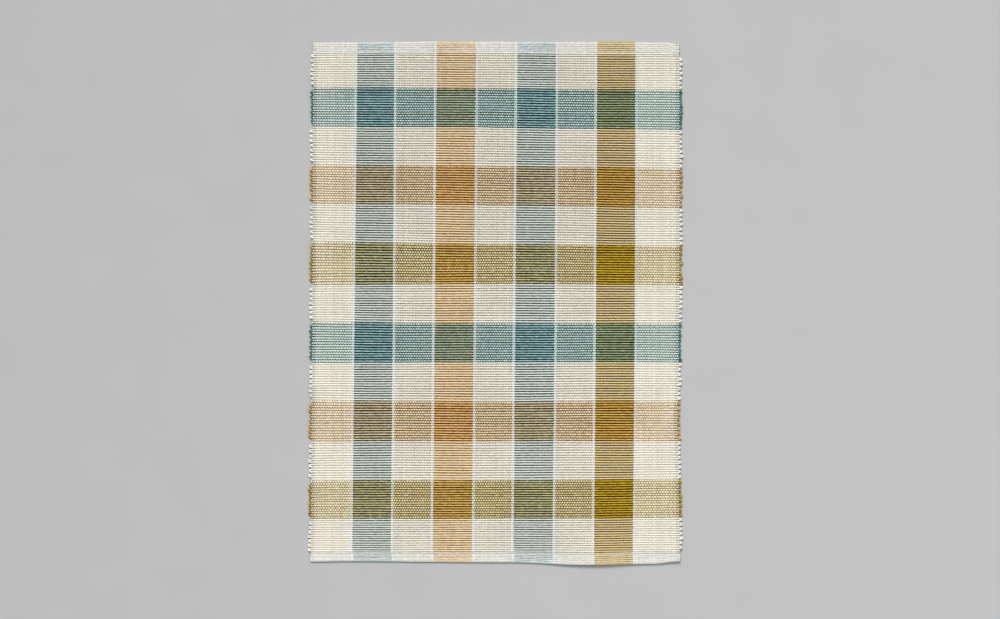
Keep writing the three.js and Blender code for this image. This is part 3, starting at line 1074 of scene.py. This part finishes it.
# The stage: metres, degrees for the window's turn, and radians for how soft its light is
FLOOR_HALF = 4.0
FLOOR_DROP = 0.0003
WINDOW_POWER = 3.08
WINDOW_SOFTNESS = 0.45
WINDOW_TURN = (-43, -14, 0)
FILL_PLACE = (0.9, -0.3, 1.9)
FILL_SIZE = 2.2
FILL_POWER = 16
ROOM_POWER = 0.3
CAMERA_PLACE = (0.0050, -0.0063, 1.2790)


class PLACEMAT_OT_set_stage(bpy.types.Operator):
    """Lay the pale floor, hang the soft lights and set the camera straight above the mat"""

    bl_idname = "placemat.set_stage"
    bl_label = "Set Stage"

    def execute(self, context):
        scene = context.scene
        far, low = FLOOR_HALF, -FLOOR_DROP
        corners = [(-far, -far, low), (far, -far, low), (far, far, low), (-far, far, low)]
        mesh = bpy.data.meshes.new("floor")
        mesh.from_pydata(corners, [], [(0, 1, 2, 3)])
        mesh.materials.append(pale_floor())
        add_object("floor", mesh)
        window = bpy.data.lights.new("window_light", "SUN")
        window.energy, window.angle, window.color = WINDOW_POWER, WINDOW_SOFTNESS, (1.0, 0.99, 0.97)
        lamp = add_object("window_light", window)
        lamp.rotation_euler = [math.radians(turn) for turn in WINDOW_TURN]
        soft_light("fill_light", FILL_PLACE, (0, 0, 0), FILL_SIZE, FILL_POWER, (0.93, 0.96, 1.0))
        world = bpy.data.worlds.new("soft_room")
        world.use_nodes = True
        background = world.node_tree.nodes["Background"]
        background.inputs["Color"].default_value = to_linear("#F1F3F6")
        background.inputs["Strength"].default_value = ROOM_POWER
        scene.world = world
        lens = bpy.data.cameras.new("camera")
        lens.lens, lens.sensor_width, lens.clip_end = 50, 36, 50
        scene.camera = add_object("camera", lens)
        scene.camera.location = CAMERA_PLACE
        scene.view_settings.view_transform = "Standard"
        return {"FINISHED"}


class PLACEMAT_PT_sidebar(bpy.types.Panel):
    """Sizes, colours and steps of the placemat"""

    bl_label = "Placemat"
    bl_space_type = "VIEW_3D"
    bl_region_type = "UI"
    bl_category = "Placemat"

    def draw(self, context):
        layout = self.layout
        for group in (context.scene.placemat_sizes, context.scene.placemat_colours):
            column = layout.column(align=True)
            for name in group.__annotations__:
                column.prop(group, name)
        for operator in OPERATORS:
            layout.operator(operator.bl_idname)


OPERATORS = (
    PLACEMAT_OT_set_stage,
    PLACEMAT_OT_weave_weft,
    PLACEMAT_OT_weave_warp,
    PLACEMAT_OT_weave_hems,
    PLACEMAT_OT_stitch_hems,
)
CLASSES = (PlacematYarnSizes, PlacematYarnColours, *OPERATORS, PLACEMAT_PT_sidebar)


def register():
    for cls in CLASSES:
        bpy.utils.register_class(cls)
    bpy.types.Scene.placemat_sizes = bpy.props.PointerProperty(type=PlacematYarnSizes)
    bpy.types.Scene.placemat_colours = bpy.props.PointerProperty(type=PlacematYarnColours)


def unregister():
    del bpy.types.Scene.placemat_colours
    del bpy.types.Scene.placemat_sizes
    for cls in reversed(CLASSES):
        bpy.utils.unregister_class(cls)


def main():
    register()
    bpy.ops.placemat.set_stage()
    bpy.ops.placemat.weave_weft()
    bpy.ops.placemat.weave_warp()
    bpy.ops.placemat.weave_hems()
    bpy.ops.placemat.stitch_hems()


if __name__ == "__main__":
    main()
